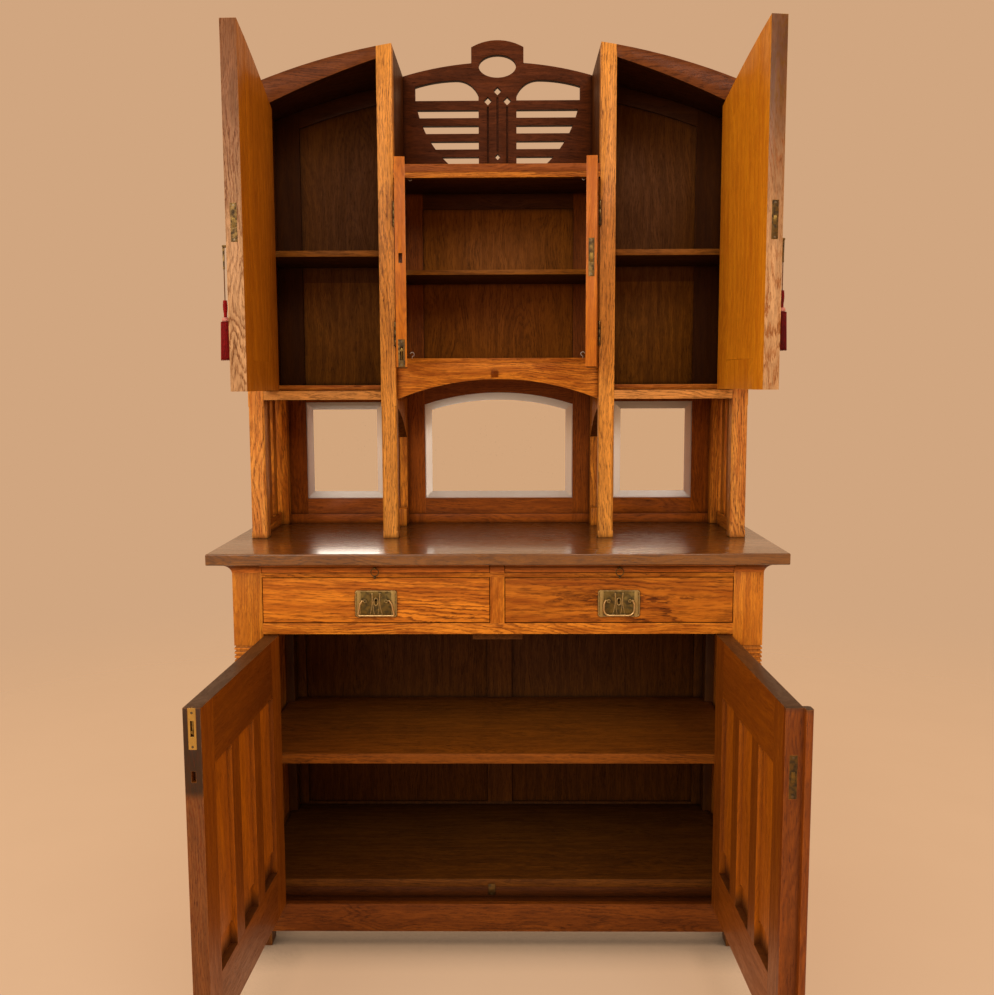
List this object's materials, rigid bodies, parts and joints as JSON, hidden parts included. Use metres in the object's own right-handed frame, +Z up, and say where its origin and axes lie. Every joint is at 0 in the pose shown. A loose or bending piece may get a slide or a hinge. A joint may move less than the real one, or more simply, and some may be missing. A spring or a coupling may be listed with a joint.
{
  "type": "court cupboard",
  "caption": "Tall oak court cupboard: panelled doors and drawers below a bench top, mirrored niches, side and middle cabinets and a pierced crest above.",
  "frame": {"origin": "on the floor under the middle of the whole cupboard with its lower doors standing open, which is 22 mm in front of the lower carcase's face", "axes": "+Z up, -Y to the front where the doors are, +X to the right of someone facing the front"},
  "size_m": [1.35, 1.1032, 2.284],
  "materials": {
    "oak": "honey oak, waxed, worn at the edges",
    "inner_timber": "darker unpolished timber",
    "old_brass": "aged brass, darkened",
    "mirror_glass": "bevelled silvered glass",
    "gold_cord": "twisted silk cord",
    "silk_tassel": "deep red silk fringe"
  },
  "bodies": {
    "cabinet": {"top_board": "oak", "cornice_moulding": "oak", "base_stiles": "oak", "base_side_frames": "oak", "base_back": "inner_timber", "base_boards": "oak", "plinth_rail": "oak", "drawer_frame": "oak", "runners_and_stops": "inner_timber", "upper_posts": "oak", "upper_walls": "oak", "side_arch_rails": "oak", "side_curved_tops": "oak", "upper_floors_and_top": "oak", "upper_shelves": "oak", "centre_arched_rail": "oak", "upper_back_frame": "oak", "upper_back_panels": "inner_timber", "bevelled_mirrors": "mirror_glass", "niche_side_frames": "oak", "crest_fretwork": "oak", "fixed_fittings": "old_brass"},
    "drawer_left": {"drawer_left_front": "oak", "drawer_left_box": "inner_timber", "drawer_left_plate": "old_brass"},
    "drawer_left_bail": {"drawer_left_bail": "old_brass"},
    "slide_left": {"slide_left": "oak", "slide_left_staple": "old_brass"},
    "slide_left_pull": {"slide_left_pull": "old_brass"},
    "lower_door_left": {"lower_door_left": "oak", "lower_left_fittings": "old_brass"},
    "upper_door_left": {"upper_door_left": "oak", "upper_left_fittings": "old_brass"},
    "upper_left_lock_bolt": {"upper_left_lock_bolt": "old_brass"},
    "upper_left_pendant": {"upper_left_pendant": "old_brass", "upper_left_tassel_cord": "gold_cord", "upper_left_tassel": "silk_tassel"},
    "centre_door_left": {"centre_door_left": "oak", "centre_left_fittings": "old_brass"},
    "drawer_right": {"drawer_right_front": "oak", "drawer_right_box": "inner_timber", "drawer_right_plate": "old_brass"},
    "drawer_right_bail": {"drawer_right_bail": "old_brass"},
    "slide_right": {"slide_right": "oak", "slide_right_staple": "old_brass"},
    "slide_right_pull": {"slide_right_pull": "old_brass"},
    "lower_door_right": {"lower_door_right": "oak", "lower_right_fittings": "old_brass"},
    "upper_door_right": {"upper_door_right": "oak", "upper_right_fittings": "old_brass"},
    "upper_right_lock_bolt": {"upper_right_lock_bolt": "old_brass"},
    "upper_right_pendant": {"upper_right_pendant": "old_brass", "upper_right_tassel_cord": "gold_cord", "upper_right_tassel": "silk_tassel"},
    "centre_door_right": {"centre_door_right": "oak", "centre_right_fittings": "old_brass"},
    "lower_left_bolt": {"lower_left_bolt": "old_brass"},
    "lower_right_lock_bolt": {"lower_right_lock_bolt": "old_brass"},
    "centre_left_bolt": {"centre_left_bolt": "old_brass"},
    "centre_right_lock_bolt": {"centre_right_lock_bolt": "old_brass"}
  },
  "joints": [
    {"name": "drawer_left_slide", "type": "slide", "parent": "cabinet", "child": "drawer_left", "axis": [0, -1, 0], "range_m": [0, 0.3]},
    {"name": "drawer_left_bail_swing", "type": "hinge", "parent": "drawer_left", "child": "drawer_left_bail", "pos_m": [-0.287, 0.01507, 0.8635], "axis": [1, 0, 0], "range_deg": [-90, 0]},
    {"name": "slide_left_pull_out", "type": "slide", "parent": "cabinet", "child": "slide_left", "axis": [0, -1, 0], "range_m": [0, 0.28]},
    {"name": "slide_left_pull_swing", "type": "hinge", "parent": "slide_left", "child": "slide_left_pull", "pos_m": [-0.287, 0.00582, 0.9425], "axis": [1, 0, 0], "range_deg": [-90, 15]},
    {"name": "lower_door_left_hinge", "type": "hinge", "parent": "cabinet", "child": "lower_door_left", "pos_m": [-0.55625, 0.01757, 0.5], "axis": [0, 0, 1], "range_deg": [-22.6, 92.4]},
    {"name": "upper_door_left_hinge", "type": "hinge", "parent": "cabinet", "child": "upper_door_left", "pos_m": [-0.58725, 0.21957, 1.6], "axis": [0, 0, 1], "range_deg": [-23.5, 91.5]},
    {"name": "centre_door_left_hinge", "type": "hinge", "parent": "cabinet", "child": "centre_door_left", "pos_m": [-0.25325, 0.21957, 1.6], "axis": [0, 0, 1], "range_deg": [-10.5, 84.5]},
    {"name": "drawer_right_slide", "type": "slide", "parent": "cabinet", "child": "drawer_right", "axis": [0, -1, 0], "range_m": [0, 0.3]},
    {"name": "drawer_right_bail_swing", "type": "hinge", "parent": "drawer_right", "child": "drawer_right_bail", "pos_m": [0.287, 0.01507, 0.8635], "axis": [1, 0, 0], "range_deg": [-90, 0]},
    {"name": "slide_right_pull_out", "type": "slide", "parent": "cabinet", "child": "slide_right", "axis": [0, -1, 0], "range_m": [0, 0.28]},
    {"name": "slide_right_pull_swing", "type": "hinge", "parent": "slide_right", "child": "slide_right_pull", "pos_m": [0.287, 0.00582, 0.9425], "axis": [1, 0, 0], "range_deg": [-90, 15]},
    {"name": "lower_door_right_hinge", "type": "hinge", "parent": "cabinet", "child": "lower_door_right", "pos_m": [0.55625, 0.01757, 0.5], "axis": [0, 0, 1], "range_deg": [-91.6, 23.4]},
    {"name": "upper_door_right_hinge", "type": "hinge", "parent": "cabinet", "child": "upper_door_right", "pos_m": [0.58725, 0.21957, 1.6], "axis": [0, 0, 1], "range_deg": [-98.5, 16.5]},
    {"name": "centre_door_right_hinge", "type": "hinge", "parent": "cabinet", "child": "centre_door_right", "pos_m": [0.25325, 0.21957, 1.6], "axis": [0, 0, 1], "range_deg": [-84.5, 10.5]},
    {"name": "upper_left_lock_throw", "type": "slide", "parent": "upper_door_left", "child": "upper_left_lock_bolt", "axis": [-0.0262, -0.9997, 0], "range_m": [0, 0.009]},
    {"name": "upper_left_pendant_swing", "type": "hinge", "parent": "upper_door_left", "child": "upper_left_pendant", "pos_m": [-0.60604, -0.03968, 1.678], "axis": [-0.0262, -0.9997, 0], "range_deg": [-75, 0]},
    {"name": "upper_right_lock_throw", "type": "slide", "parent": "upper_door_right", "child": "upper_right_lock_bolt", "axis": [0.1478, -0.989, 0], "range_m": [0, 0.009]},
    {"name": "upper_right_pendant_swing", "type": "hinge", "parent": "upper_door_right", "child": "upper_right_pendant", "pos_m": [0.6375, -0.03546, 1.688], "axis": [-0.1478, 0.989, 0], "range_deg": [-75, 0]},
    {"name": "lower_left_bolt_throw", "type": "slide", "parent": "lower_door_left", "child": "lower_left_bolt", "axis": [0, 0, 1], "range_m": [0, 0.012]},
    {"name": "centre_left_bolt_throw", "type": "slide", "parent": "centre_door_left", "child": "centre_left_bolt", "axis": [0, 0, -1], "range_m": [0, 0.012]},
    {"name": "lower_right_lock_throw", "type": "slide", "parent": "lower_door_right", "child": "lower_right_lock_bolt", "axis": [0.0279, -0.9996, 0], "range_m": [0, 0.009]},
    {"name": "centre_right_lock_throw", "type": "slide", "parent": "centre_door_right", "child": "centre_right_lock_bolt", "axis": [-0.0958, -0.9954, 0], "range_m": [0, 0.009]}
  ]
}
